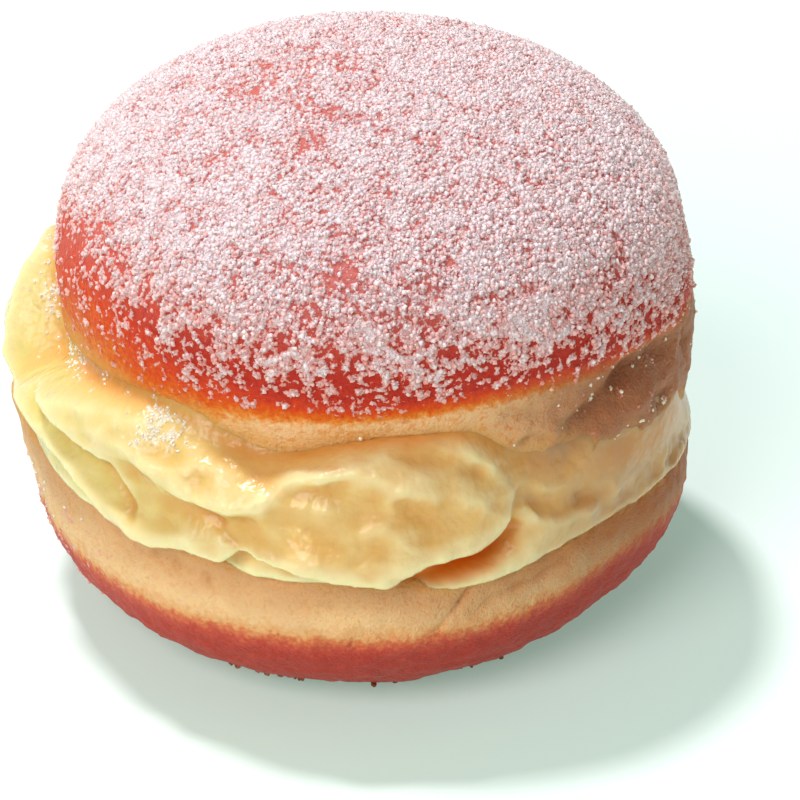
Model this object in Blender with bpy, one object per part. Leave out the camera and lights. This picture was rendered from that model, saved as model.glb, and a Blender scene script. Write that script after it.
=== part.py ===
"""A custard filled doughnut: a fried yeast bun split in two, with custard swelling out of the cut.

It is made of three closed solids, in metres, with +Z up and the front at -Y: the two halves of the bun
and the custard that runs right through between them. Azimuths are in degrees round +Z: 0 is the right
side, 90 the back, 180 the left and -90 the front. The bun is hinged at the back right, so the cut gapes
at the left and the front.
"""

import math

import bmesh
import bpy
from mathutils import Vector, noise

MM = 0.001
SEGMENTS = 72  # steps round each piece
GAP = 0.35 * MM  # clearance between the custard and each half

# Where things lie round the bun: the middle azimuth and the spread of a swell, or both ends of a ramp
BOTTOM_HIGH = (178, 52)  # the lower cut edge rises
BOTTOM_LOW = (-72, 13)  # and dips under a fold of the custard
BOTTOM_FLAT = (-42, 30)  # and its side is flattened at the front right
HINGE = (40, 60)
FLARE = (172, 22)
LAP = (168, 34)
SWELL_LEFT = (180, 68)
SWELL_FRONT = (-95, 38)
TOP_LOW = (-107, 11)  # the upper cut edge dips
FLAP_STEP = (-72, -60)  # steps down to the flap
FLAP_SLOPE = (-60, -36)  # falls along it
HINGE_STEP = (-22, 8)  # and steps down again to the hinge
BACK_CLIMB = (60, 168)  # and rises again behind
FLAP_START = (-66, -5)
FLAP_END = (60, 150)

# Lower half of the bun
BASE_RADIUS = 26.5 * MM  # flat spot that the doughnut rests on
BASE_SHIFT = 0.8 * MM  # how far right of the upper half it sits
BOTTOM_RADIUS = 44.1 * MM
BOTTOM_EQUATOR = 17 * MM  # height of its widest part
BOTTOM_SHIFT = 0.9 * MM  # how far left of the upper half that part sits
BOTTOM_TRIM = 2.4 * MM  # how far that side is drawn in where it is flattened
BASE_TRIM = 3 * MM  # and the base below it
BOTTOM_CUT = 24 * MM  # height of its cut edge at the front
BOTTOM_RISE_LEFT = 3 * MM  # how much higher the cut edge is at the left
BOTTOM_DROP_HINGE = 3.2 * MM  # and how much lower at the hinge
BOTTOM_DIP = 2 * MM  # and in its dip at the front
BOTTOM_FLARE = 1.9 * MM  # the rim that curls out at the left
BOTTOM_TUCK = 0.4 * MM  # how far the wall draws in at the rim

# Upper half of the bun
TOP_RADIUS = 40.9 * MM
TOP_EQUATOR = 50.9 * MM
DOME_RISE = 23.3 * MM
TOP_CUT_MIDDLE = 34 * MM  # height of its cut face on the axis
TOP_CUT_OPEN = 39.6 * MM  # height of its rim where the cut gapes
TOP_DIP = 3.2 * MM  # how far the rim dips at the front
FLAP_DROP = 6.3 * MM  # step down to the flap of dough at the right
FLAP_FALL = 4.2 * MM  # further drop along the flap
HINGE_DROP = 6 * MM  # and from the flap to the hinge
TOP_TUCK = 1.3 * MM  # how far the wall draws in at the rim
FLAP_BELLY = 2.2 * MM  # how far the flap swells out
BELLY_TURN = 2.3  # radians of a sine down the flap, so that it is fullest two thirds of the way down
TOP_WAVER = 0.4 * MM  # how far the wall is from round

LIP = 1.6 * MM  # rounding of both cut edges
FACE_SHARES = (0, 0.3, 0.6, 0.85)  # rings on a cut face, as shares of its radius
TOP_BEND = 1.5  # above 1 the upper cut face is hollow
UNEVEN = 0.35 * MM  # height of the soft dents all over the dough
UNEVEN_GRAIN = 16 * MM

# Custard
LEFT_SWELL = 4.4 * MM  # how far it stands out past the upper half at the left
FRONT_SWELL = 4.4 * MM
HINGE_SWELL = 0.3 * MM
LEFT_LAP = 4.4 * MM  # how far it climbs the upper wall at the left
CLING = 1.4 * MM  # how far it follows the rounding of a cut edge
OPEN_CLING = 1.1 * MM  # and how much further up the upper one where the cut gapes
DROOP = 0.8 * MM  # sag of its overhanging edge
DROOP_AT = 0.88  # share of the way down where the sag is deepest
DROOP_SPREAD = 0.12
BLEND = 0.35  # how much of the smaller swell is added to the larger
BOXY = 0.78  # below 1 the swelling has a flat top and a steep face
RISE = 0.78  # below 1 it is fullest above its middle

# Creases pressed into a side: azimuth and height at both ends, depth, half width
CUSTARD_CREASES = (
    (-172, 34, -112, 28, 2.2, 1.7),
    (-128, 33, -92, 27.5, 1.1, 1.8),
    (-86, 24.5, -56, 27, 2.2, 1.8),
    (-62, 31, -44, 28, 1.0, 1.3),
    (165, 36, 95, 29, 1.6, 2.2),
)
TOP_CREASES = (
    (-54, 36.5, -36, 43.5, 1.5, 1.8),
    (-42, 43, -6, 38, 1.7, 2.0),
    (20, 36, 75, 33, 1.2, 2.2),
)
BOTTOM_CREASES = (
    (-80, 8, -70, 22, 0.6, 1.0),
    (-150, 20.5, -100, 21.5, 0.7, 1.4),
)


def swell(azimuth, centre, width):
    """A smooth rise from 0 to 1 round one side."""
    off = (azimuth - centre + 180) % 360 - 180
    return math.exp(-((off / width) ** 2))


def ramp(value, start, end):
    """A smooth step from 0 at start to 1 at end."""
    share = min(max((value - start) / (end - start), 0), 1)
    return share * share * (3 - 2 * share)


def creased(azimuth, height, creases):
    """How far the creases press the surface in at this place."""
    depth = 0
    for start, start_mm, end, end_mm, deep_mm, half_mm in creases:
        along = (azimuth - start) / (end - start)
        if 0 < along < 1:
            middle = (start_mm + (end_mm - start_mm) * along) * MM
            across = (height - middle) / (half_mm * MM)
            depth += deep_mm * MM * math.sin(math.pi * along) * math.exp(-across * across)
    return depth


def top_rim(azimuth):
    """Height of the upper half's cut edge: high where the cut gapes, low at the flap and the hinge."""
    steps_down = ((FLAP_DROP, FLAP_STEP), (FLAP_FALL, FLAP_SLOPE), (HINGE_DROP, HINGE_STEP))
    low = sum(drop * ramp(azimuth, *span) for drop, span in steps_down)
    return TOP_CUT_OPEN - low * (1 - ramp(azimuth, *BACK_CLIMB)) - TOP_DIP * swell(azimuth, *TOP_LOW)


def bottom_rim(azimuth):
    """Height of the lower half's cut edge, which rises to the left and dips at the front and the hinge."""
    rise = BOTTOM_RISE_LEFT * swell(azimuth, *BOTTOM_HIGH)
    low = BOTTOM_DIP * swell(azimuth, *BOTTOM_LOW) + BOTTOM_DROP_HINGE * swell(azimuth, *HINGE)
    return BOTTOM_CUT + rise - low


def top_wall(azimuth, height):
    """Radius of the upper half between its widest part and its cut edge."""
    down = (TOP_EQUATOR - height) / (TOP_EQUATOR - top_rim(azimuth))
    flap = ramp(azimuth, *FLAP_START) * (1 - ramp(azimuth, *FLAP_END))
    belly = FLAP_BELLY * flap * math.sin(BELLY_TURN * max(down, 0))
    waver = TOP_WAVER * math.sin(math.radians(2 * azimuth + 60)) * min(down * 3, 1)
    return TOP_RADIUS - TOP_TUCK * down**2 + belly + waver - creased(azimuth, height, TOP_CREASES)


def bottom_wall(azimuth, height):
    """Radius of the lower half between its widest part and its cut edge."""
    up = (height - BOTTOM_EQUATOR) / (bottom_rim(azimuth) - BOTTOM_EQUATOR)
    reach = BOTTOM_RADIUS - BOTTOM_SHIFT * math.cos(math.radians(azimuth))
    reach -= BOTTOM_TRIM * swell(azimuth, *BOTTOM_FLAT)
    flare = BOTTOM_FLARE * swell(azimuth, *FLARE) * min(max(up, 0), 1)
    return reach - BOTTOM_TUCK * up**2 + flare - creased(azimuth, height, BOTTOM_CREASES)


def steps(count, first=0):
    """Shares from 0 to 1 in equal steps, from the given one on."""
    return [step / count for step in range(first, count + 1)]


def round_edge(wall, azimuth, rim, side, travel, extra=0):
    """The point reached by going travel round a cut edge from its cut face, and then on along the wall.

    side is 1 for the edge of the upper half and -1 for that of the lower, and extra lifts the point off.
    """
    turn = min(travel / LIP, math.pi / 2)
    climb = travel - LIP * turn
    height = rim + side * (LIP + climb)
    radius = wall(azimuth, height) - LIP
    reach = LIP + extra
    return radius + reach * math.sin(turn), height - side * reach * math.cos(turn)


def edge_points(wall, azimuth, rim, side, travel, count, extra=0):
    """Points in equal steps of travel round a cut edge, from its cut face on."""
    return [round_edge(wall, azimuth, rim, side, travel * share, extra) for share in steps(count)]


def cut_face(azimuth, radius, rim, middle, bend, shift):
    """Points along a cut face from the axis to its edge, raised by shift."""
    return [(radius * share, middle + (rim - middle) * share**bend + shift) for share in FACE_SHARES]


def top_face(azimuth, shift=0):
    edge = top_wall(azimuth, top_rim(azimuth) + LIP) - LIP
    return cut_face(azimuth, edge, top_rim(azimuth), TOP_CUT_MIDDLE, TOP_BEND, shift)


def bottom_face(azimuth, shift=0):
    edge = bottom_wall(azimuth, bottom_rim(azimuth) - LIP) - LIP
    return cut_face(azimuth, edge, bottom_rim(azimuth), BOTTOM_CUT, 1, shift)


def top_profile(azimuth):
    """Outline of the upper half at one azimuth, from its crown to the middle of its cut face."""
    rim = top_rim(azimuth)
    dome = [
        (TOP_RADIUS * math.sin(share * math.pi / 2), TOP_EQUATOR + DOME_RISE * math.cos(share * math.pi / 2))
        for share in steps(9)
    ]
    heights = [TOP_EQUATOR + (rim + LIP - TOP_EQUATOR) * share for share in steps(6, 1)]
    wall = [(top_wall(azimuth, height), height) for height in heights]
    lip = edge_points(top_wall, azimuth, rim, 1, LIP * math.pi / 2, 3)[-2::-1]
    return dome + wall + lip + top_face(azimuth)[::-1]


def bottom_profile(azimuth):
    """Outline of the lower half at one azimuth, from the middle of its cut face to that of its base."""
    rim = bottom_rim(azimuth)
    heights = [rim - LIP + (BOTTOM_EQUATOR - rim + LIP) * share for share in steps(3)]
    wall = [(bottom_wall(azimuth, height), height) for height in heights]
    lip = edge_points(bottom_wall, azimuth, rim, -1, LIP * math.pi / 2, 3)[:-1]
    base = BASE_RADIUS + BASE_SHIFT * math.cos(math.radians(azimuth))
    base -= BASE_TRIM * swell(azimuth, *BOTTOM_FLAT)
    reach = wall[-1][0] - base
    under = [
        (
            base + reach * math.cos(share * math.pi / 2),
            BOTTOM_EQUATOR * (1 - math.sin(share * math.pi / 2)),
        )
        for share in steps(7, 1)
    ]
    return bottom_face(azimuth) + lip + wall + under + [(base / 2, 0), (0, 0)]


def custard_swell(azimuth):
    """How far the custard stands out past the bun."""
    left = LEFT_SWELL * swell(azimuth, *SWELL_LEFT)
    front = FRONT_SWELL * swell(azimuth, *SWELL_FRONT)
    return HINGE_SWELL + max(left, front) + BLEND * min(left, front)


def custard_side(azimuth, upper, lower):
    """The custard's free surface, from where it leaves the upper half to where it meets the lower one."""
    out = custard_swell(azimuth)
    open_share = out / LEFT_SWELL
    points = []
    for share in steps(13, 1)[:-1]:
        turn = math.pi * share**RISE
        fall = (1 - math.copysign(abs(math.cos(turn)) ** BOXY, math.cos(turn))) / 2
        sag = DROOP * open_share * math.exp(-(((share - DROOP_AT) / DROOP_SPREAD) ** 2))
        height = upper[1] + (lower[1] - upper[1]) * fall - sag
        radius = upper[0] + (lower[0] - upper[0]) * fall + out * math.sin(turn) ** BOXY
        points.append((radius - creased(azimuth, height, CUSTARD_CREASES), height))
    return points


def custard_profile(azimuth):
    """Outline of the custard at one azimuth, from the middle of its top to that of its underside."""
    opening = ramp(custard_swell(azimuth), HINGE_SWELL, FRONT_SWELL)
    climb = CLING + OPEN_CLING * opening + LEFT_LAP * swell(azimuth, *LAP)
    above = edge_points(top_wall, azimuth, top_rim(azimuth), 1, climb, 4, GAP)
    below = edge_points(bottom_wall, azimuth, bottom_rim(azimuth), -1, CLING, 2, GAP)[::-1]
    side = custard_side(azimuth, above[-1], below[0])
    return top_face(azimuth, -GAP) + above + side + below + bottom_face(azimuth, GAP)[::-1]


def dented(place):
    """The soft unevenness of risen dough, as a push along the line from the bun's middle."""
    push = noise.noise(place / UNEVEN_GRAIN) * UNEVEN
    return place + Vector((place.x, place.y, 0)).normalized() * push


def turned(name, profile, material):
    """One closed solid: a ball whose rows follow the profile at each azimuth."""
    rows = len(profile(0)) - 1
    mesh = bpy.data.meshes.new(name)
    bm = bmesh.new()
    bmesh.ops.create_uvsphere(bm, u_segments=SEGMENTS, v_segments=rows, radius=1)
    outlines = {}
    for vert in bm.verts:
        row = round(math.acos(min(max(vert.co.z, -1), 1)) / math.pi * rows)
        step = round(math.atan2(vert.co.y, vert.co.x) / math.tau * SEGMENTS) % SEGMENTS
        azimuth = (step * 360 / SEGMENTS + 180) % 360 - 180
        if azimuth not in outlines:
            outlines[azimuth] = profile(azimuth)
        radius, height = outlines[azimuth][row]
        turn = math.radians(azimuth)
        vert.co = dented(Vector((radius * math.cos(turn), radius * math.sin(turn), height)))
    bmesh.ops.recalc_face_normals(bm, faces=bm.faces)
    bm.to_mesh(mesh)
    bm.free()
    mesh.shade_smooth()
    mesh.set_sharp_from_angle(angle=math.radians(50))
    mesh.materials.append(material)
    piece = bpy.data.objects.new(name, mesh)
    bpy.context.scene.collection.objects.link(piece)
    return piece


def finish(name, colour, roughness):
    """A plain matt or moist surface of one colour (linear red, green, blue)."""
    material = bpy.data.materials.new(name)
    material.use_nodes = True
    shader = material.node_tree.nodes["Principled BSDF"]
    shader.inputs["Base Color"].default_value = (*colour, 1)
    shader.inputs["Roughness"].default_value = roughness
    shader.inputs["Metallic"].default_value = 0
    return material


def centre(pieces):
    """Move the pieces so that the origin lies under the middle of the doughnut's box, at its base."""
    places = [vert.co for piece in pieces for vert in piece.data.vertices]
    middle = Vector([(min(p[k] for p in places) + max(p[k] for p in places)) / 2 for k in range(2)] + [0])
    for piece in pieces:
        for vert in piece.data.vertices:
            vert.co -= middle


def main():
    for old in list(bpy.data.objects):
        bpy.data.objects.remove(old)
    centre(
        [
            turned("bun_bottom", bottom_profile, finish("fried dough", (0.42, 0.16, 0.06), 0.6)),
            turned("custard", custard_profile, finish("custard", (0.82, 0.66, 0.3), 0.35)),
            turned("bun_top", top_profile, finish("sugared crust", (0.55, 0.16, 0.1), 0.7)),
        ]
    )


main()
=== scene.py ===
"""The looks of a sugared, custard filled doughnut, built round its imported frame.

Lengths are in metres unless a name or comment says mm. Azimuths are in degrees round the crown's axis: 0 is
the right side, 90 the back, 180 the left and -90 the front, as in the solids.
"""

import math

import bpy
import numpy as np
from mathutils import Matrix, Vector, noise
from mathutils.bvhtree import BVHTree


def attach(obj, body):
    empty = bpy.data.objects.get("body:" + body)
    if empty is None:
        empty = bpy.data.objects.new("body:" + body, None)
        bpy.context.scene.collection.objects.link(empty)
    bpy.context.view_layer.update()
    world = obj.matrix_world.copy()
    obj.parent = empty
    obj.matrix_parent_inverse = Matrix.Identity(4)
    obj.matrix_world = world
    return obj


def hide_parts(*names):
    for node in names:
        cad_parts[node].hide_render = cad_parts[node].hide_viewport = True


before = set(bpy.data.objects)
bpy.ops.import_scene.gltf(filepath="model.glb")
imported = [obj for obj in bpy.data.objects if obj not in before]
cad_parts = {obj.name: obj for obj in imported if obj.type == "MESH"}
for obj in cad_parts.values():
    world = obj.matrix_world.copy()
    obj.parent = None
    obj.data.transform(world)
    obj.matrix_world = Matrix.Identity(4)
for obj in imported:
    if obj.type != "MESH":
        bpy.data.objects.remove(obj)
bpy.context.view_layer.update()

MM = 0.001


# ---------------------------------------------------------------- hand tools

def take(piece):
    """Select one piece alone, ready for an operator."""
    bpy.ops.object.select_all(action="DESELECT")
    piece.select_set(True)
    bpy.context.view_layer.objects.active = piece


def press(piece, kind, **settings):
    """Put a modifier on a piece, set it and apply it."""
    take(piece)
    modifier = piece.modifiers.new(kind.title(), kind)
    for name, value in settings.items():
        setattr(modifier, name, value)
    bpy.ops.object.modifier_apply(modifier=modifier.name)


def in_edit_mode(piece, *steps):
    """Run edit mode operators, each given as (operator, settings), on all of a piece."""
    take(piece)
    bpy.ops.object.mode_set(mode="EDIT")
    bpy.ops.mesh.select_all(action="SELECT")
    for operator, settings in steps:
        operator(**settings)
    bpy.ops.object.mode_set(mode="OBJECT")


def twin(piece, name):
    """A copy of a piece with a mesh of its own, and with neither its materials nor its parent."""
    other = piece.copy()
    other.data = piece.data.copy()
    other.parent = None
    other.name = other.data.name = name
    other.data.materials.clear()
    bpy.context.scene.collection.objects.link(other)
    return other


def knit(piece, grain_mm):
    """Divide a piece's surface evenly, into faces about grain_mm across."""
    press(piece, "REMESH", mode="VOXEL", voxel_size=grain_mm * MM, use_smooth_shade=True)


def even_copy(node, name, grain_mm):
    """A welded copy of a CAD node, rounded off and divided evenly, ready to be shaped finely."""
    piece = twin(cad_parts[node], name)
    in_edit_mode(
        piece,
        (bpy.ops.mesh.remove_doubles, {"threshold": 0.01 * MM}),
        (bpy.ops.mesh.tris_convert_to_quads, {"face_threshold": 1.2, "shape_threshold": 1.2}),
    )
    press(piece, "SUBSURF", levels=2, render_levels=2)
    knit(piece, grain_mm)
    press(piece, "SMOOTH", factor=0.5, iterations=6)
    return piece


def places(piece):
    """The piece's points, in metres, and their normals."""
    count = len(piece.data.vertices)
    points = np.empty(count * 3)
    piece.data.vertices.foreach_get("co", points)
    normals = np.empty(count * 3)
    piece.data.vertices.foreach_get("normal", normals)
    return points.reshape(-1, 3), normals.reshape(-1, 3)


def move(piece, points):
    """Set the piece's points."""
    piece.data.vertices.foreach_set("co", points.ravel())
    piece.data.update()


def paint(piece, name, values):
    """A value at each point that materials and scattering read by name."""
    layer = piece.data.attributes.new(name, "FLOAT", "POINT")
    layer.data.foreach_set("value", np.ascontiguousarray(values, dtype=np.float32))


def mottle(points, size, octaves=1, seed=0):
    """Soft noise from -1 to 1 whose patches are about size across."""
    shift = Vector((seed * 7.31, seed * 3.17, seed * 5.23))
    return np.array([noise.fractal(Vector(p) / size + shift, 1, 2, octaves) for p in points])


def smoothed(piece, rounds):
    """Where the piece's points lie once it is smoothed away."""
    soft = twin(piece, "soft")
    press(soft, "SMOOTH", factor=1.0, iterations=rounds)
    smooth, _ = places(soft)
    bpy.data.objects.remove(soft)
    return smooth


def relief(piece, rounds, depth):
    """How deep each point lies in a hollow, and how high on a ridge, where 1 is the given depth."""
    points, normals = places(piece)
    sunk = ((smoothed(piece, rounds) - points) * normals).sum(1) / depth
    return np.clip(sunk, 0, 1), np.clip(-sunk, 0, 1)


# ---------------------------------------------------------------- where things lie

def crown():
    """The axis of the bun: its highest point."""
    points, _ = places(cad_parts["bun_top"])
    return points[points[:, 2].argmax()]


AXIS = crown()


def around(points):
    """Azimuth in degrees, radius and height of each point, round the crown's axis."""
    x, y = points[:, 0] - AXIS[0], points[:, 1] - AXIS[1]
    return np.degrees(np.arctan2(y, x)), np.hypot(x, y), points[:, 2]


def outwards(points):
    """The level direction away from the crown's axis at each point."""
    way = points - AXIS
    way[:, 2] = 0
    return way / np.maximum(np.linalg.norm(way, axis=1), 1e-9)[:, None]


def ramp(values, start, end):
    """A smooth step from 0 at start to 1 at end."""
    share = np.clip((values - start) / (end - start), 0, 1)
    return share * share * (3 - 2 * share)


def swell(azimuth, centre, width):
    """A smooth rise from 0 to 1 round one side."""
    off = (azimuth - centre + 180) % 360 - 180
    return np.exp(-((off / width) ** 2))


def gap_to(points, node):
    """How far each point is from the surface of a CAD node."""
    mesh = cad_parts[node].data
    corners = [v.co for v in mesh.vertices]
    tree = BVHTree.FromPolygons(corners, [p.vertices for p in mesh.polygons])
    return np.array([tree.find_nearest(Vector(p))[3] for p in points])


SIDE_RADIUS = 45 * MM  # at which heights and azimuths are laid out flat


def past_line(points, line):
    """How far each point lies past a line drawn on the side, and how near it is to the line's middle.

    The line is a list of (azimuth, height in mm), drawn from left to right as seen from outside, and
    past it is below it. The second value runs from 0 at either end to 1 in the middle.
    """
    middle = line[len(line) // 2][0]

    def flat(azimuth, height):
        off = (np.asarray(azimuth) - middle + 180) % 360 - 180
        return np.stack([np.radians(off) * SIDE_RADIUS, np.asarray(height)], -1)

    azimuth, _, height = around(points)
    spots = flat(azimuth, height)
    knots = flat([a for a, _ in line], [h * MM for _, h in line])
    lengths = np.hypot(*np.diff(knots, axis=0).T)
    total = lengths.sum()
    nearest = np.full(len(points), np.inf)
    past = np.zeros(len(points))
    share = np.zeros(len(points))
    run = 0
    for start, end, length in zip(knots[:-1], knots[1:], lengths):
        way = (end - start) / length
        step = spots - start
        reach = np.clip(step @ way, 0, length)
        rest = step - reach[:, None] * way
        far = np.hypot(rest[:, 0], rest[:, 1])
        side = way[1] * step[:, 0] - way[0] * step[:, 1]
        closer = far < nearest
        nearest = np.where(closer, far, nearest)
        past = np.where(closer, np.sign(side) * far, past)
        share = np.where(closer, (run + reach) / total, share)
        run += length
    return past, np.sin(np.pi * np.clip(share, 0, 1))


def press_creases(points, creases, free=1):
    """Press soft creases into a surface, each given as (line, depth, half width), in mm."""
    push = np.zeros(len(points))
    for line, depth, half in creases:
        past, middle = past_line(points, line)
        push -= middle**0.5 * depth * np.exp(-((past / (half * MM)) ** 2)) * MM
    return points + outwards(points) * (push * free)[:, None]


def draw_folds(points, folds, free=1):
    """Fold a surface along lines: it swells out to each line, is undercut past it, and hangs a little.

    A fold is (line, swell, its reach, undercut, its reach, hang, how broad its lip is), in mm.
    """
    push = np.zeros(len(points))
    sink = np.zeros(len(points))
    for line, out, out_reach, cut, cut_reach, hang, broad in folds:
        past, middle = past_line(points, line)
        strength = middle**0.4
        gone = ramp(past, -0.4 * broad * MM, 0.6 * broad * MM)
        lip = np.exp(-((np.minimum(past, 0) / (out_reach * MM)) ** 2))
        groove = np.exp(-((np.maximum(past, 0) / (cut_reach * MM)) ** 2))
        push += strength * (out * lip * (1 - gone) - cut * gone * groove) * MM
        sink += strength * hang * np.exp(-(((past + 0.3 * MM) / (0.8 * MM)) ** 2)) * (1 - gone) * MM
    moved = points + outwards(points) * (push * free)[:, None]
    moved[:, 2] -= sink * free
    return moved


# ---------------------------------------------------------------- finishes

def colour(code):
    """A linear colour from its sRGB hex code."""
    parts = [int(code[k : k + 2], 16) / 255 for k in (1, 3, 5)]
    return (*(c / 12.92 if c <= 0.04045 else ((c + 0.055) / 1.055) ** 2.4 for c in parts), 1)


def add(tree, kind, wires=(), **settings):
    """One node, with its settings, and its inputs set or linked."""
    node = tree.nodes.new(kind)
    for name, value in settings.items():
        setattr(node, name, value)
    for name, value in dict(wires).items():
        if isinstance(value, bpy.types.NodeSocket):
            tree.links.new(value, node.inputs[name])
        else:
            node.inputs[name].default_value = value
    return node


def blank(name, roughness, **sockets):
    """A new material: its tree and its shader, with the shader's own sockets set."""
    material = bpy.data.materials.new(name)
    material.use_nodes = True
    tree = material.node_tree
    shader = tree.nodes["Principled BSDF"]
    shader.inputs["Roughness"].default_value = roughness
    for socket, value in sockets.items():
        shader.inputs[socket.replace("_", " ")].default_value = value
    return material, tree, shader


def grain(tree, size_mm, detail=2, roughness=0.5):
    """Noise whose patches are about size_mm across, on the piece's own place."""
    wires = {"Scale": 1 / (size_mm * MM), "Detail": detail, "Roughness": roughness}
    if tree.type == "SHADER":
        wires["Vector"] = add(tree, "ShaderNodeTexCoord").outputs["Object"]
    return add(tree, "ShaderNodeTexNoise", wires).outputs["Fac"]


def painted(tree, name):
    """A value painted on the piece."""
    if tree.type == "SHADER":
        return add(tree, "ShaderNodeAttribute", attribute_name=name).outputs["Fac"]
    node = add(tree, "GeometryNodeInputNamedAttribute", {"Name": name}, data_type="FLOAT")
    return node.outputs["Attribute"]


def sums(tree, operation, *values, clamp=False):
    """One sum of values."""
    wires = dict(enumerate(values))
    return add(tree, "ShaderNodeMath", wires, operation=operation, use_clamp=clamp).outputs[0]


def shades(tree, value, *stops):
    """Colours along a value, each stop a (place, hex code)."""
    node = add(tree, "ShaderNodeValToRGB", {"Fac": value})
    band = node.color_ramp.elements
    while len(band) < len(stops):
        band.new(0.5)
    for element, (place, code) in zip(band, stops):
        element.position = place
        element.color = colour(code)
    return node.outputs["Color"]


def mixed(tree, share, first, second):
    """A colour between two."""
    wires = {0: share, 6: first, 7: second}
    return add(tree, "ShaderNodeMix", wires, data_type="RGBA").outputs[2]


def bumps(tree, shader, *layers):
    """Relief on the shader, each layer (value, height in mm)."""
    under = None
    for value, height_mm in layers:
        wires = {"Height": value, "Distance": height_mm * MM, "Strength": 1.0}
        if under:
            wires["Normal"] = under
        under = add(tree, "ShaderNodeBump", wires).outputs["Normal"]
    tree.links.new(under, shader.inputs["Normal"])


def caked(tree):
    """How thickly sugar cakes, from 0 to 1: it sticks in clumps under a millimetre across, with gaps."""
    cover = painted(tree, "sugar")
    coarse = grain(tree, 0.95, 2)
    clump = sums(tree, "SUBTRACT", grain(tree, 0.6, 2), coarse)
    clump = sums(tree, "MULTIPLY_ADD", painted(tree, "fine"), clump, coarse)
    clump = sums(tree, "MULTIPLY_ADD", clump, 0.7, -0.5)
    clump = sums(tree, "MULTIPLY_ADD", grain(tree, 3.2, 2), 0.3, clump)
    level = sums(tree, "MULTIPLY_ADD", cover, 0.23, -0.115)
    level = sums(tree, "ADD", level, clump)
    level = sums(tree, "MULTIPLY", level, 1 / 0.15, clamp=True)
    return sums(tree, "MULTIPLY", level, sums(tree, "MULTIPLY", cover, 8.0, clamp=True))


def ends(group):
    """The input and the output of a new group of geometry nodes."""
    group.interface.new_socket("Geometry", in_out="INPUT", socket_type="NodeSocketGeometry")
    group.interface.new_socket("Geometry", in_out="OUTPUT", socket_type="NodeSocketGeometry")
    start = add(group, "NodeGroupInput").outputs["Geometry"]
    return start, add(group, "NodeGroupOutput").inputs["Geometry"]


def pushed(group, geometry, way, distance):
    """Geometry moved a distance along a way."""
    shift = add(group, "ShaderNodeVectorMath", {0: way, "Scale": distance}, operation="SCALE")
    wires = {"Geometry": geometry, "Offset": shift.outputs[0]}
    return add(group, "GeometryNodeSetPosition", wires).outputs["Geometry"]


def sugar_tone(tree, thick):
    """The colour of sugar by how thickly it lies: it shows the red under it, most of all lower down."""
    place = add(tree, "ShaderNodeTexCoord").outputs["Object"]
    height = add(tree, "ShaderNodeSeparateXYZ", {0: place}).outputs["Z"]
    # 0 at 46 mm and 1 at 63 mm
    high = sums(tree, "MULTIPLY_ADD", height, 1 / (17 * MM), -46 / 17, clamp=True)
    low_tone = shades(tree, thick, (0.0, "#e38877"), (0.35, "#f1aca1"), (0.7, "#f7ccc6"), (1.0, "#fbe6e3"))
    high_tone = shades(tree, thick, (0.0, "#e9a7a2"), (0.3, "#f0c3c2"), (0.7, "#f5dbdc"), (1.0, "#f9ecee"))
    return mixed(tree, high, low_tone, high_tone)


def frosted(tree, tone):
    """A crust's colour under what sugar cakes on it, and how thick that is."""
    clump = caked(tree)
    thick = sums(tree, "ADD", clump, sums(tree, "MULTIPLY_ADD", grain(tree, 0.4, 2), 0.6, -0.3))
    share = sums(tree, "MULTIPLY_ADD", thick, 5.0, 0.2, clamp=True)
    share = sums(tree, "MULTIPLY", share, sums(tree, "MULTIPLY", clump, 6.0, clamp=True))
    share = sums(tree, "MULTIPLY_ADD", painted(tree, "fine"), 0.4, share, clamp=True)
    sugared = sums(tree, "MULTIPLY", painted(tree, "sugar"), 8.0, clamp=True)
    share = sums(tree, "MULTIPLY", share, sugared)
    return mixed(tree, sums(tree, "MULTIPLY", share, 0.9), tone, sugar_tone(tree, thick)), thick


def dough_finish(name, tan_and_shade_tone, hollow, *crust):
    """Yeast dough fried brown: matt and finely pored, its crust's colour given from pale to well done."""
    material, tree, shader = blank(
        name, 0.5, Subsurface_Weight=0.35, Subsurface_Scale=2.0 * MM, Specular_IOR_Level=0.14
    )
    shader.inputs["Subsurface Radius"].default_value = (1.0, 0.4, 0.18)
    blotch = sums(tree, "MULTIPLY_ADD", grain(tree, 2.5, 3), 0.35, -0.475)
    blotch = sums(tree, "MULTIPLY_ADD", grain(tree, 0.7, 2), 0.6, blotch)
    browned = sums(tree, "ADD", blotch, painted(tree, "browned"))
    tone = shades(tree, browned, *crust)
    # the browner right side: partly the dough's own frying, partly painted shade
    tone = mixed(tree, painted(tree, "tanned"), tone, colour(tan_and_shade_tone))
    # painted shade in hollows and creases, and under the custard's lip on the lower half
    sunk = sums(tree, "MULTIPLY", painted(tree, "hollow"), 0.8)
    tone = mixed(tree, sunk, tone, colour(hollow))
    # custard smeared on the dough, in a golden orange that also paints shade toward the seam
    tone = mixed(tree, painted(tree, "smeared"), tone, colour("#e3a656"))
    tone, thick = frosted(tree, tone)
    tree.links.new(tone, shader.inputs["Base Color"])
    bumps(tree, shader, (grain(tree, 1.6, 3), 0.3), (grain(tree, 0.4, 2), 0.1), (thick, 0.25))
    return material


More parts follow.
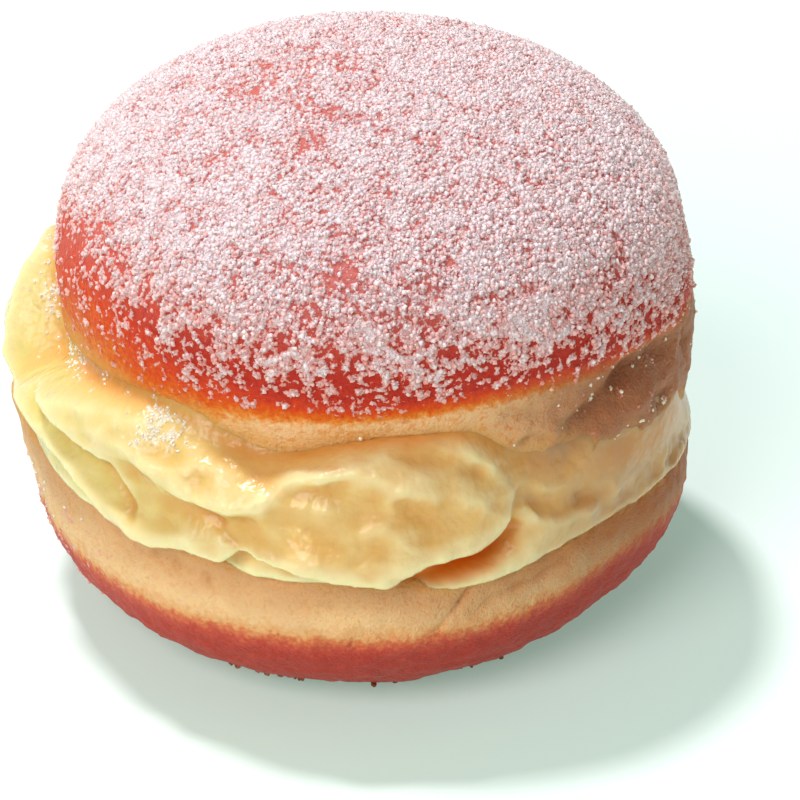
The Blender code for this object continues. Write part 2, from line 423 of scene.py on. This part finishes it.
def custard_finish():
    """Pastry cream: smooth, moist and pale yellow, and light sinks a few millimetres into it."""
    material, tree, shader = blank(
        "pastry cream", 0.26, Subsurface_Weight=0.6, Subsurface_Scale=2.5 * MM, IOR=1.4
    )
    shader.inputs["Subsurface Radius"].default_value = (1.0, 0.55, 0.2)
    tone = shades(tree, grain(tree, 5, 3), (0.35, "#e1ab5e"), (0.65, "#ebc27a"))
    # painted light: the custard paler at its lit left side
    tone = mixed(tree, painted(tree, "pale"), tone, colour("#dece80"))
    # painted highlight on the ridges and painted shade in the hollows
    for name, share, code in (("ridge", 0.8, "#f5e8b6"), ("hollow", 0.65, "#dc8e3a")):
        tone = mixed(tree, sums(tree, "MULTIPLY", painted(tree, name), share), tone, colour(code))
    # painted shade: the right side, the seam with the crust and the pits under the overhangs
    for name, code in (("tanned", "#bd8858"), ("stained", "#dd8a3c"), ("deep", "#ea780c")):
        tone = mixed(tree, painted(tree, name), tone, colour(code))
    tone = mixed(tree, sums(tree, "MULTIPLY", caked(tree), 0.85), tone, colour("#f8ecd4"))
    tree.links.new(tone, shader.inputs["Base Color"])
    bumps(tree, shader, (grain(tree, 3.4, 2), 0.7), (grain(tree, 1.1, 2), 0.12))
    return material


def sugar_finish():
    """Granulated sugar: clear crystals that scatter white, and let through the colour they lie on."""
    material, tree, shader = blank(
        "granulated sugar", 0.45, Subsurface_Weight=0.7, Subsurface_Scale=0.8 * MM
    )
    shader.inputs["Subsurface Radius"].default_value = (1.0, 0.7, 0.65)
    thick = sums(tree, "MULTIPLY_ADD", painted(tree, "chance"), 0.15, painted(tree, "thick"))
    on_crust = sums(tree, "MULTIPLY", painted(tree, "browned"), 3.0, clamp=True)
    tone = mixed(tree, on_crust, colour("#fdf0d4"), sugar_tone(tree, thick))
    tree.links.new(tone, shader.inputs["Base Color"])
    # painted glow: the grains give off a faint light of their own, pink on the crust, to lift their shaded
    # sides
    painted_glow = mixed(tree, on_crust, colour("#f0cf96"), colour("#d05c58"))
    tree.links.new(painted_glow, shader.inputs["Emission Color"])
    shader.inputs["Emission Strength"].default_value = 0.1
    return material


def crumb_finish():
    """Crumbs of crust fried dark: dry and rough."""
    material, tree, shader = blank("fried crumb", 0.7)
    tone = shades(tree, grain(tree, 0.6, 2), (0.35, "#6b2a18"), (0.65, "#b5623c"))
    tree.links.new(tone, shader.inputs["Base Color"])
    bumps(tree, shader, (grain(tree, 0.4, 2), 0.1))
    return material


# ---------------------------------------------------------------- upper half of the bun

# The line where the brown crust ends and the pale dough begins: azimuths, and heights in mm
CRUST_EDGE = (
    (-180, -171, -164, -156, -146, -128, -115, -93, -64, -53, -40, -31, -13, 20, 60, 110, 150, 180),
    (35, 35.5, 37.8, 39.8, 41.5, 43.4, 45.2, 45.3, 46.3, 46.2, 45.2, 45, 43.5, 42, 44, 46, 42, 35),
)


def crust_edge(azimuth):
    """Height of the line where the brown crust ends and the pale dough begins."""
    line = sum(np.interp((azimuth + shift + 180) % 360 - 180, *CRUST_EDGE) for shift in (-4, 0, 4)) / 3
    return line * MM


# Where the sugar lies thicker or thinner on the dome: the azimuth, the distance from the crown and the
# spread in mm, and how much thicker
SUGAR_PATCHES = (
    (-165, 30, 11, 0.35),
    (-120, 28, 7, 0.12),
    (-84, 18, 2, 0.3),
    (25, 21, 7, 0.25),
    (-3, 36, 9, 0.18),
    (-46, 37, 5, 0.05),
    (-113, 13, 3, -0.3),
    (-94, 34, 3, -0.3),
    (128, 12, 5, -0.3),
    (-93, 42, 3, -0.3),
    (-8, 29, 9, 0.28),
    (-20, 14, 9, 0.15),
    (95, 27, 10, -0.15),
    (-68, 27, 2.5, 0.5),
    (-66, 33, 2.5, 0.4),
    (-158, 10, 7, -0.18),
    (-75, 22, 6, -0.2),
    (-76, 36, 5, -0.15),
    (110, 22, 9, 0.25),
    (60, 30, 8, -0.15),
    (150, 34, 8, 0.2),
)


def sugar_cover(points):
    """How thickly the sugar lies, from 0 to 1: thin above the crust's edge and on a bare patch."""
    azimuth, radius, height = around(points)
    above = height - crust_edge(azimuth)
    band = (3 + 10 * swell(azimuth, -165, 50)) * MM
    left = swell(azimuth, -168, 45)
    cover = (0.4 - 0.32 * left) * ramp(above, -1 * MM, 1.5 * MM)
    cover += (0.34 + 0.2 * left) * ramp(above, 1.5 * MM, 3.5 * MM + band)
    cover += 0.2 * ramp(above, band, band + 14 * MM)
    across, along = radius * np.cos(np.radians(azimuth)), radius * np.sin(np.radians(azimuth))
    for where, reach, spread, more in SUGAR_PATCHES:
        far = (across - reach * MM * math.cos(math.radians(where))) ** 2
        far += (along - reach * MM * math.sin(math.radians(where))) ** 2
        cover += more * np.exp(-far / (spread * MM) ** 2) * ramp(above, band, band + 12 * MM)
    bare = swell(azimuth, -163, 22) * ramp(height, 62 * MM, 54 * MM)
    cover *= (1 - 0.6 * bare) * (1 + 0.4 * mottle(points, 5 * MM, 3, 5))
    strays = 1 + 0.9 * swell(azimuth, -38, 24) * ramp(height, 30 * MM, 34 * MM)
    strays *= ramp(height, 26 * MM, 30 * MM)
    cover += 0.045 * strays * (1 + mottle(points, 4 * MM, 2, 9))
    return np.clip(cover, 0, 1)


UPPER_FOLDS = (
    # the back of the cut edge
    (((40, 41), (60, 43), (85, 41), (105, 42.5)), 0.5, 3.0, 0.9, 2.0, 0.2, 0.8),
)
UPPER_CREASES = (
    # the flap's crease, and the upright one beyond it
    (((-54, 37.6), (-47, 39.2), (-40, 40), (-33, 41.4), (-26, 41.6), (-19, 39.6)), 2.0, 2.0),
    (((-44, 42), (-36, 42.6), (-28, 43.2)), 0.7, 1.6),
    (((-15, 46), (-14, 40.7), (-11, 35), (-8, 31), (-5, 27)), 1.4, 0.8),
    (((-66, 43.5), (-56, 41.0), (-50, 42.5)), 0.6, 1.3),
    (((-56, 35.2), (-50, 34.4), (-44, 35.4)), 1.3, 1.3),
    (((-44, 33.0), (-38, 32.2), (-32, 33.5)), 1.2, 1.4),
    (((-30, 36.5), (-24, 34.5), (-19, 36)), 0.8, 1.3),
    (((-62, 37.5), (-59, 39), (-55, 37.5)), 0.8, 0.8),
)
# Swellings between them: a crease that stands out
UPPER_RIDGES = (
    (((-63, 38.6), (-60, 39.5), (-55, 38.6), (-50, 37)), -0.9, 1.2),
    (((-53, 32.0), (-46, 31.0), (-40, 30.4), (-33, 29)), -0.9, 1.2),
    (((-38, 37.5), (-32, 37), (-26, 38)), -0.7, 1.5),
)


CAKE_MM = 0.35  # how high the sugar cakes where it lies thickest


def cake_relief(piece):
    """Raise a piece's surface where sugar cakes on it."""
    group = bpy.data.node_groups.new("cake", "GeometryNodeTree")
    start, end = ends(group)
    lift = sums(group, "MULTIPLY", caked(group), CAKE_MM * MM)
    normal = add(group, "GeometryNodeInputNormal").outputs["Normal"]
    group.links.new(pushed(group, start, normal, lift), end)
    press(piece, "NODES", node_group=group)


def upper_browning(azimuth, height):
    """How brown the upper half's crust is, from 0 to 1: it fades out slowly at the left."""
    fade = 1.7 + 2 * swell(azimuth, -165, 40) + 10 * swell(azimuth, -152, 26) + 8 * swell(azimuth, -176, 11)
    left = swell(azimuth, -158, 30)
    browned = 0.5 - 0.3 * left + (height - crust_edge(azimuth)) / (2 * fade * MM)
    return np.clip(browned, 0, 1 - 0.25 * left)


def make_upper_bun():
    """The upper half: a dome that hangs lower at the left, with a flap at the right."""
    piece = even_copy("bun_top", "upper_bun", 0.5)
    points, normals = places(piece)
    points = press_creases(draw_folds(points, UPPER_FOLDS), UPPER_CREASES + UPPER_RIDGES)
    azimuth, radius, height = around(points)
    rim = ramp(height, 45 * MM, 40 * MM) * ramp(radius, 34 * MM, 39 * MM)
    points[:, 2] -= 3.6 * swell(azimuth, -177, 13) * rim * MM
    azimuth, _, height = around(points)
    flap = ramp(azimuth, -70, -55) * ramp(azimuth, 10, -10)
    browned = upper_browning(azimuth, height)
    sugar = sugar_cover(points)
    out = 0.15 * mottle(points, 5 * MM, 2, 1)
    out += (1 - browned) * 0.15 * mottle(points, 2.2 * MM, 2, 3)
    out += flap * (1 - browned) * 0.5 * mottle(points * (0.6, 0.6, 1), 3.2 * MM, 3, 4)
    points += normals * out[:, None] * MM
    move(piece, points)
    near = gap_to(points, "custard")
    reach = (1.0 + 2.4 * swell(azimuth, -118, 22) + 3 * flap) * MM
    reach *= 1 + 0.6 * mottle(points, 3 * MM, 2, 8)
    hollow, _ = relief(piece, 60, 1.6 * MM)
    shaded = ramp(azimuth, -80, -40) * ramp(azimuth, 110, 60)
    paint(piece, "browned", browned)
    # painted shade and tan: the pale dough painted browner on the right side, where less light falls
    paint(piece, "tanned", 0.85 * (1 - browned) * shaded)
    paint(piece, "sugar", sugar)
    paint(piece, "fine", ramp(height, 50 * MM, 62 * MM))
    # painted shade in the flap's creases, where the folded dough is also browner
    paint(piece, "hollow", hollow * (1 - browned))
    # custard smeared near the seam, partly painted shade toward it
    paint(piece, "smeared", 0.7 * ramp(near, reach + 1.5 * MM, 0.2 * reach) * ramp(browned, 0.6, 0.2))
    cake_relief(piece)
    piece.data.materials.append(
        dough_finish(
            "fried crust",
            "#9e5a3c",
            "#8a4c30",
            (0.0, "#f6c48e"),
            (0.2, "#ec8e38"),
            (0.42, "#e26212"),
            (0.62, "#dc461a"),
            (0.85, "#cc3a20"),
            (1.0, "#ba2e20"),
        )
    )
    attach(piece, "root")
    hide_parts("bun_top")
    return piece


# ---------------------------------------------------------------- custard

CUSTARD_FOLDS = (
    # the inner fold at the left, over a lower ledge
    (
        (
            (-172, 36.5), (-160, 35.5), (-150, 34.2), (-143, 34.2), (-136, 33.4), (-132, 30.9),
            (-130, 29.2), (-129, 26.8),
        ),
        1.0, 4.0, 2.2, 2.3, 0.4, 1.2,
    ),
    # the long overhanging edge, with a notch and a tip, that ends above the recess at the right
    (
        (
            (-170, 28.5), (-156, 30), (-149, 29.7), (-141, 28), (-137, 25.7), (-130, 25.3), (-126, 24.8),
            (-120, 25.9), (-113, 26.2), (-110, 28.4), (-107, 27.9), (-104, 27.3), (-98, 26.4), (-94, 25.7),
            (-89, 24.9), (-85.5, 24.3), (-84, 25.9), (-81, 26.9), (-77, 27.0), (-73, 26.8), (-68, 27.5),
            (-66, 29.6), (-64, 31.9), (-63.5, 33.5),
        ),
        1.3, 3.2, 3.4, 3.2, 0.8, 0.8,
    ),
    # the ridge of the lit shelf
    (
        (
            (-142, 36.3), (-132, 36.0), (-125, 33.8), (-121, 33.6), (-116, 32.7), (-112, 32.9), (-107, 33.8),
            (-104, 36.1), (-100, 37.7), (-95, 38.4), (-91, 38.2), (-87, 37.4), (-83, 36), (-78, 34.8),
        ),
        1.7, 2.8, 0.7, 4.2, 0.0, 3.2,
    ),
    # the custard's own upper edge under the dough
    (
        (
            (-112, 38.2), (-105, 37.0), (-98, 37.4), (-93, 39.0), (-86, 41.0), (-78, 41.0),
            (-73, 39.4), (-68, 36.5),
        ),
        0.5, 1.6, 0.6, 1.6, 0.0, 1.2,
    ),
    # the second fold, whose upper edge stands out under the flap
    (
        (
            (-42, 24.6), (-46, 26.0), (-50, 26.5), (-55, 26.8), (-58, 27.7), (-61, 29.9),
            (-62, 32.4), (-62.5, 35),
        ),
        0.6, 1.8, 0.8, 3.0, -0.3, 1.8,
    ),
    # folds at the left and the back
    (((178, 37), (160, 36), (140, 34.5), (120, 33.0), (104, 31)), 0.7, 3.0, 1.6, 2.0, 0.4, 1.0),
    (((150, 29), (130, 28.4), (110, 27), (95, 26)), 0.7, 3.0, 1.8, 1.8, 0.4, 1.0),
)
CUSTARD_CREASES = (
    (((-118, 40), (-110, 37.6), (-104, 37.2)), 0.8, 1.0),
    (((-119, 33.2), (-114, 30.8), (-110, 28)), 1.2, 0.9),
    (((-93, 35), (-86, 33.2), (-78, 33.6), (-72, 32)), 0.5, 1.2),
    (((-100, 32), (-94, 30.2), (-88, 30.8)), 0.5, 0.9),
    (((-73, 38), (-69, 35.5), (-67, 33)), 0.6, 0.9),
)
# Pits under its overhangs, deep enough to show the dough behind
CUSTARD_PITS = (
    (((-86, 22.6), (-80, 23.4), (-75, 23.8), (-70, 24.6), (-66, 26.6), (-64, 29)), 3.4, 1.6),
)
# Where the custard's upper edge dips or climbs: azimuth, spread, how far in mm
UPPER_EDGE = ((-107, 7, -0.6), (-82, 9, 0.6), (150, 12, -1.2), (110, 10, -1.0))


def tuck_in(points):
    """Draw the custard in at the left, under the crust's edge and over the flared lower half."""
    azimuth, radius, height = around(points)
    turn = np.where(azimuth > 90, azimuth - 360, azimuth)
    contact = crust_edge(azimuth) + (11 * ramp(turn, -171, -187) - 1) * MM
    below = np.maximum(contact - height, 0) / MM
    limit = (39.8 + 11 * (1 - np.exp(-below / 3))) * MM
    share = ramp(turn, -204, -192) * ramp(turn, -118, -136)
    tucked = np.maximum(radius - limit, 0) * share
    limit = (45.2 + 4.0 * ramp(height, 27.5 * MM, 34 * MM)) * MM
    tucked = np.maximum(tucked, np.maximum(radius - limit, 0) * swell(azimuth, 180, 34))
    return points - outwards(points) * tucked[:, None]


def make_smear(bun):
    """A skin of custard on the rim of the upper half, which thins out over a few millimetres."""
    smear = twin(bun, "smear")
    knit(smear, 0.5)
    points, normals = places(smear)
    azimuth, _, height = around(points)
    gap = gap_to(points, "custard")
    reach = 1.3 + 2.6 * swell(azimuth, -132, 14) + 1.0 * swell(azimuth, 165, 30)
    reach *= (1 + 0.5 * mottle(points, 4 * MM, 3, 31)) * (1 - 0.95 * swell(azimuth, -90, 26))
    flap = ramp(azimuth, -66, -52) * ramp(azimuth, -2, -22)
    reach += (3.5 + 1.5 * mottle(points, 6 * MM, 2, 32)) * flap
    thick = 0.75 - 1.1 * (gap / MM / np.maximum(reach, 0.5)) ** 1.5
    thick -= 2 * ramp(height - crust_edge(azimuth), -1 * MM, 0.5 * MM)
    move(smear, points + normals * (np.maximum(thick, -0.9) * MM)[:, None])
    top = (AXIS[0], AXIS[1], 49 * MM)
    cut = {"plane_co": top, "plane_no": (0, 0, 1), "use_fill": True, "clear_outer": True}
    in_edit_mode(smear, (bpy.ops.mesh.bisect, cut))
    return smear


def shape_custard(piece):
    """Swell, fold and wrinkle the custard where it is free of the bun."""
    points, normals = places(piece)
    gap = np.minimum(gap_to(points, "bun_top"), gap_to(points, "bun_bottom"))
    free = ramp(gap, 0.6 * MM, 1.6 * MM)
    points += normals * ((1 - free) * 0.9 * MM)[:, None]
    azimuth, radius, height = around(points)
    top = ramp(height, 34 * MM, 41 * MM) * ramp(radius, 38 * MM, 41 * MM)
    for centre, spread, climb in UPPER_EDGE:
        points[:, 2] += top * climb * swell(azimuth, centre, spread) * MM
    points = draw_folds(points, CUSTARD_FOLDS, free)
    points = press_creases(points, CUSTARD_CREASES, free)
    out = 0.6 * mottle(points, 8 * MM, 2, 11) + 0.35 * mottle(points, 3.5 * MM, 2, 12)
    slanted = points * (0.55, 0.55, 1.3) + 0.3 * points[:, [2, 0, 1]]
    wrinkle = 1 - abs(mottle(slanted, 5.5 * MM, 2, 14))
    out += 0.55 * (wrinkle**4 - 0.4)
    points += normals * (out * free)[:, None] * MM
    points = tuck_in(points)
    for line, depth, half in CUSTARD_PITS:
        past, middle = past_line(points, line)
        pit = middle**0.5 * depth * np.exp(-((past / (half * MM)) ** 2)) * MM
        points -= outwards(points) * pit[:, None]
    move(piece, points)


def take_up(piece, smear):
    """Make the smear one with the custard, and soften the seam between them."""
    take(piece)
    smear.select_set(True)
    bpy.ops.object.join()
    knit(piece, 0.51)
    press(piece, "SMOOTH", factor=0.5, iterations=3)
    points, _ = places(piece)
    azimuth, _, _ = around(points)
    seam = ramp(gap_to(points, "bun_top"), 4 * MM, 1.5 * MM) * (1 - 0.75 * swell(azimuth, -85, 16))
    points += (smoothed(piece, 45) - points) * seam[:, None]
    move(piece, points)


def paint_custard(piece):
    """Where the custard is painted light at the left, painted shade at the right, under the flap, in hollows
    and pits and along its seam, painted highlight on ridges, and where it is sugared.
    """
    points, _ = places(piece)
    azimuth, _, height = around(points)
    gap = gap_to(points, "bun_top")
    beside = swell(azimuth, -172, 22) * ramp(gap, 6 * MM, 1 * MM)
    patch = swell(azimuth, -128, 4.5) * ramp(abs(height - 40 * MM), 3 * MM, 1 * MM)
    hollow, ridge = relief(piece, 80, 0.7 * MM)
    deep = np.zeros(len(points))
    for line, _, half in CUSTARD_PITS:
        past, middle = past_line(points, line)
        deep = np.maximum(deep, middle**0.5 * np.exp(-((past / (half * 1.2 * MM)) ** 2)))
    right = ramp(azimuth, -70, -40) * ramp(azimuth, 130, 70)
    # the custard under the flap, where its shadow falls
    under_flap = ramp(azimuth, -66, -54) * ramp(azimuth, 20, 0) * ramp(height, 30 * MM, 36 * MM)
    # painted shade along the seam with the upper half, in the crust's orange, which also blends the crust's
    # colour into the custard
    seam_shade_share = 0.35 + 0.5 * swell(azimuth, -155, 25) + 0.3 * swell(azimuth, -85, 15) - 0.35 * under_flap
    # painted light: the custard painted paler at the left, where the light falls
    paint(piece, "pale", swell(azimuth, -168, 50))
    # painted shade: the custard painted tan on its right side and under the flap
    paint(piece, "tanned", np.maximum(0.6 * right, 0.9 * under_flap))
    # painted shade along the seam
    paint(piece, "stained", ramp(gap, 2.6 * MM, 0.5 * MM) * np.clip(seam_shade_share, 0, 1))
    # painted shade in the custard's hollows
    paint(piece, "hollow", hollow)
    # painted highlight on the ridges
    paint(piece, "ridge", ridge)
    # painted shade in the pits under the overhangs
    paint(piece, "deep", deep)
    paint(piece, "sugar", np.clip(0.6 * beside + 0.85 * patch, 0, 1))


def make_custard(bun):
    """The filling, which swells out between the halves and smears the rim above it."""
    piece = even_copy("custard", "custard_filling", 0.45)
    shape_custard(piece)
    take_up(piece, make_smear(bun))
    paint_custard(piece)
    piece.data.materials.append(custard_finish())
    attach(piece, "root")
    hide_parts("custard")
    return piece


# ---------------------------------------------------------------- lower half of the bun

LOWER_CREASES = (
    # the hairline fold below the recess
    (((-70, 23), (-72, 20.9), (-74, 19), (-77, 16.5), (-79, 13.8)), 0.6, 0.5),
    # a low fold beside it, and two soft ones at the left
    (((-73, 16.6), (-66, 18.2), (-60, 18.6), (-52, 20.2)), 0.5, 0.7),
    (((-118, 22), (-117, 19.5), (-114, 17)), 0.4, 0.9),
    (((-99, 20), (-94, 18.6), (-88, 19.2)), 0.35, 1.0),
)


def make_lower_bun():
    """The lower half: a pale waist over a browned underside, flared at the left."""
    piece = even_copy("bun_bottom", "lower_bun", 0.55)
    points, normals = places(piece)
    points = press_creases(points, LOWER_CREASES)
    azimuth, _, height = around(points)
    flare = 2.0 * swell(azimuth, 176, 17) * np.exp(-(((height - 25.5 * MM) / (5.5 * MM)) ** 2))
    points += outwards(points) * (flare * MM)[:, None]
    foot = ramp(points[:, 2], 0.3 * MM, 1.5 * MM)
    out = foot * (0.35 * mottle(points, 5 * MM, 3, 21) + 0.16 * mottle(points, 1.6 * MM, 2, 22))
    move(piece, points + normals * out[:, None] * MM)
    points, _ = places(piece)
    azimuth, _, height = around(points)
    edge = 15.0 + 1.0 * swell(azimuth, -165, 25) + 12 * swell(azimuth, 172, 14)
    edge += 2 * swell(azimuth, -30, 25)
    browned = ramp(edge * MM - height, -2.5 * MM, 5 * MM)
    shaded = ramp(azimuth, -75, -20) * ramp(azimuth, 120, 60)
    dusted = swell(azimuth, -168, 22) * ramp(height, 5 * MM, 9 * MM) * ramp(height, 25 * MM, 18 * MM)
    hollow, _ = relief(piece, 30, 1.1 * MM)
    gap = gap_to(points, "custard")
    lip_shade = ramp(gap, (7.5 + 3 * mottle(points, 6 * MM, 2, 26)) * MM, 1.5 * MM)
    lip_shade *= 0.6 + 0.35 * swell(azimuth, -42, 22)
    smear = 0.8 * MM * (1 + 0.8 * mottle(points, 3 * MM, 2, 24))
    low_front = swell(azimuth, -106, 14) + 0.3 * swell(azimuth, -70, 30)
    low_front *= ramp(height, 3.5 * MM, 2.0 * MM) * ramp(height, 0.4 * MM, 1 * MM)
    paint(piece, "browned", browned)
    # painted shade: the pale dough painted browner on its right side, where less light falls
    paint(piece, "tanned", 0.85 * (1 - browned) * shaded)
    paint(piece, "sugar", np.clip(0.28 * dusted * (1 + mottle(points, 5 * MM, 2, 27)), 0, 1))
    # painted shade in creases and under the custard's lip
    paint(piece, "hollow", np.clip(hollow + lip_shade, 0, 1))
    # custard smeared along the rim, in the golden orange that partly stands for shade
    paint(piece, "smeared", 0.6 * ramp(gap, smear + 1 * MM, 0.4 * smear))
    paint(piece, "crumbs", low_front)
    piece.data.materials.append(
        dough_finish(
            "fried underside",
            "#98522f",
            "#b8682c",
            (0.0, "#f4c892"),
            (0.3, "#ebac70"),
            (0.5, "#dd7a4c"),
            (0.72, "#c9523f"),
            (1.0, "#b63f33"),
        )
    )
    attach(piece, "root")
    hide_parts("bun_bottom")
    return piece


# ---------------------------------------------------------------- sugar and crumbs

def make_crystal(sides):
    """One crystal a millimetre across, knocked out of true: a block, or a three sided splinter."""
    bpy.ops.object.select_all(action="DESELECT")
    if sides == 4:
        bpy.ops.mesh.primitive_cube_add(size=1 * MM)
    elif sides == 3:
        bpy.ops.mesh.primitive_cone_add(vertices=3, radius1=0.7 * MM, depth=1 * MM)
    else:
        bpy.ops.mesh.primitive_ico_sphere_add(subdivisions=2, radius=0.5 * MM)
    piece = bpy.context.object
    piece.name = "crystal"
    in_edit_mode(piece, (bpy.ops.transform.vertex_random, {"offset": 0.12 * MM, "seed": 4}))
    return piece


def random_value(group, kind, low, high, seed):
    """A value drawn for each grain."""
    first = {"FLOAT": 2, "FLOAT_VECTOR": 0}[kind]
    node = add(group, "FunctionNodeRandomValue", {first: low, first + 1: high, "Seed": seed}, data_type=kind)
    return node.outputs[{"FLOAT": 1, "FLOAT_VECTOR": 0}[kind]]


def strewn(group, surface, per_mm2, mask, lift_mm, seed):
    """Points strewn as the mask says, just over or under the surface, and how thick they lie."""
    everywhere = sums(group, "MULTIPLY", painted(group, mask or "sugar"), 8.0, clamp=True)
    density = painted(group, mask) if mask else everywhere
    density = sums(group, "MULTIPLY", density, per_mm2 / MM**2)
    wires = {"Mesh": surface, "Density": density, "Seed": seed}
    spots = add(group, "GeometryNodeDistributePointsOnFaces", wires)
    lift = random_value(group, "FLOAT", lift_mm[0] * MM, lift_mm[1] * MM, seed + 1)
    points = pushed(group, spots.outputs["Points"], spots.outputs["Normal"], lift)
    return points, everywhere if mask else caked(group)


def grown(group, points, thick, crystal, sizes_mm, seed):
    """A crystal at each point where enough lies to hold it, turned and sized by chance."""
    chance = random_value(group, "FLOAT", -1.0, 1.0, seed + 4)
    for label, value in (("chance", chance), ("thick", thick)):
        wires = {"Geometry": points, "Name": label, "Value": value}
        marked = add(group, "GeometryNodeStoreNamedAttribute", wires, data_type="FLOAT")
        points = marked.outputs["Geometry"]
    wires = {0: thick, 1: random_value(group, "FLOAT", 0.0, 0.45, seed + 5)}
    kept = add(group, "FunctionNodeCompare", wires, data_type="FLOAT", operation="GREATER_THAN")
    low, high = sizes_mm
    wires = {
        "Points": points,
        "Selection": kept.outputs["Result"],
        "Instance": add(group, "GeometryNodeObjectInfo", {"Object": crystal}).outputs["Geometry"],
        "Rotation": random_value(group, "FLOAT_VECTOR", (0, 0, 0), (math.tau,) * 3, seed + 2),
        "Scale": random_value(group, "FLOAT_VECTOR", (low,) * 3, (high,) * 3, seed + 3),
    }
    placed = add(group, "GeometryNodeInstanceOnPoints", wires).outputs["Instances"]
    return add(group, "GeometryNodeRealizeInstances", {"Geometry": placed}).outputs["Geometry"]


def bent(group, mesh, size_mm):
    """A mesh pulled out of true by noise of the given size, so that no two grains are alike."""
    wobble = add(group, "ShaderNodeTexNoise", {"Scale": 1 / (size_mm * MM), "Detail": 1.0})
    wires = {0: wobble.outputs["Color"], 1: (0.5, 0.5, 0.5)}
    wobble = add(group, "ShaderNodeVectorMath", wires, operation="SUBTRACT")
    return pushed(group, mesh, wobble.outputs[0], size_mm * MM)


# What only the piece under the grains has to know
SPARE = ("tanned", "sugar", "fine", "hollow", "smeared", "crumbs", "pale", "ridge", "deep", "stained")


def scatter(name, host, crystal, per_mm2, sizes_mm, lift_mm, seed, material, mask=None):
    """Grains strewn over a piece as its mask says, each turned and sized by chance, as one real mesh.

    With no mask they are strewn where sugar cakes, and thickest in the middle of its clumps.
    """
    piece = twin(host, name)
    for key in list(piece.keys()):
        del piece[key]
    group = bpy.data.node_groups.new(name, "GeometryNodeTree")
    start, end = ends(group)
    points, thick = strewn(group, start, per_mm2, mask, lift_mm, seed)
    grains = grown(group, points, thick, crystal, sizes_mm, seed)
    group.links.new(bent(group, grains, 0.35), end)
    press(piece, "NODES", node_group=group)
    piece.data.materials.clear()
    piece.data.materials.append(material)
    for spare in SPARE:
        if spare in piece.data.attributes:
            piece.data.attributes.remove(piece.data.attributes[spare])
    in_edit_mode(piece, (bpy.ops.mesh.faces_shade_smooth, {}))
    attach(piece, "root")


def make_sugar(bun, custard, lower):
    """The sugar: each size of grain on the upper half, and what fell on the custard and below it."""
    block, splinter, lump = make_crystal(4), make_crystal(3), make_crystal(5)
    finish = sugar_finish()
    scatter("sugar_dust", bun, splinter, 6, (0.2, 0.36), (-0.12, 0.08), 3, finish)
    scatter("sugar_fine", bun, block, 2.2, (0.22, 0.36), (-0.12, 0.08), 13, finish)
    scatter("sugar_medium", bun, block, 1.8, (0.28, 0.44), (-0.12, 0.1), 23, finish)
    scatter("sugar_coarse", bun, block, 0.7, (0.38, 0.56), (-0.1, 0.12), 33, finish)
    scatter("sugar_clots", bun, lump, 0.25, (0.35, 0.75), (-0.1, 0.05), 43, finish)
    scatter("sugar_on_custard", custard, block, 5.0, (0.2, 0.36), (-0.1, 0.03), 53, finish)
    scatter("sugar_below", lower, block, 1.5, (0.25, 0.45), (-0.1, 0.08), 73, finish)
    for crystal in (block, splinter, lump):
        bpy.data.objects.remove(crystal)


def make_crumbs(bun):
    """Dark crumbs that stick to the foot of the bun."""
    lump = make_crystal(5)
    scatter("crumbs", bun, lump, 0.25, (0.5, 1.3), (0.0, 0.2), 63, crumb_finish(), "crumbs")
    bpy.data.objects.remove(lump)


# ---------------------------------------------------------------- stage

def make_stage():
    """A sheet of matt paper, just under the doughnut."""
    bpy.ops.object.select_all(action="DESELECT")
    bpy.ops.mesh.primitive_plane_add(size=4, location=(0, 0, -0.2 * MM))
    floor = bpy.context.object
    floor.name = "floor"
    material, tree, shader = blank("matt paper", 0.9, Specular_IOR_Level=0.1)
    shader.inputs["Base Color"].default_value = colour("#d5dad8")
    shader.inputs["Emission Color"].default_value = colour("#c1ffeb")
    shader.inputs["Emission Strength"].default_value = 0.3
    floor.data.materials.append(material)


def make_sun(name, azimuth, height, softness, strength, tint):
    """A soft light from far off: where it stands, how wide it looks in degrees, and how strong it is."""
    data = bpy.data.lights.new(name, "SUN")
    data.angle = math.radians(softness)
    data.energy = strength
    data.color = colour(tint)[:3]
    lamp = bpy.data.objects.new(name, data)
    turn, lift = math.radians(azimuth), math.radians(height)
    towards = Vector((math.cos(turn) * math.cos(lift), math.sin(turn) * math.cos(lift), math.sin(lift)))
    lamp.rotation_euler = (-towards).to_track_quat("-Z", "Y").to_euler()
    lamp.location = towards
    bpy.context.scene.collection.objects.link(lamp)


def make_camera():
    """A long lens held over half a metre off, looking down at the front."""
    tilt = math.radians(30)
    distance = 0.6
    across = 0.1055
    ahead = Vector((0, math.cos(tilt), -math.sin(tilt)))
    aim = Vector((AXIS[0], AXIS[1], 0)) + Vector((4.0, -6.95, 28.3)) * MM
    data = bpy.data.cameras.new("camera")
    data.sensor_width = 36
    data.lens = 36 * distance / across
    camera = bpy.data.objects.new("camera", data)
    camera.location = aim - ahead * distance
    camera.rotation_euler = ahead.to_track_quat("-Z", "Y").to_euler()
    bpy.context.scene.collection.objects.link(camera)
    bpy.context.scene.camera = camera


def light_room():
    """A key light from behind at the left, a broad fill from the front, and a pale room."""
    world = bpy.data.worlds.new("studio")
    world.use_nodes = True
    bpy.context.scene.world = world
    sky = world.node_tree.nodes["Background"]
    sky.inputs["Color"].default_value = colour("#fffdf8")
    sky.inputs["Strength"].default_value = 0.24
    make_sun("key", 133, 70, 7, 2.3, "#fdfcff")
    make_sun("fill", 238, 40, 34, 1.75, "#fffcfb")
    bpy.context.scene.view_settings.view_transform = "Standard"


make_camera()
light_room()
make_stage()
lower_bun = make_lower_bun()
upper_bun = make_upper_bun()
custard_filling = make_custard(upper_bun)
make_sugar(upper_bun, custard_filling, lower_bun)
make_crumbs(lower_bun)
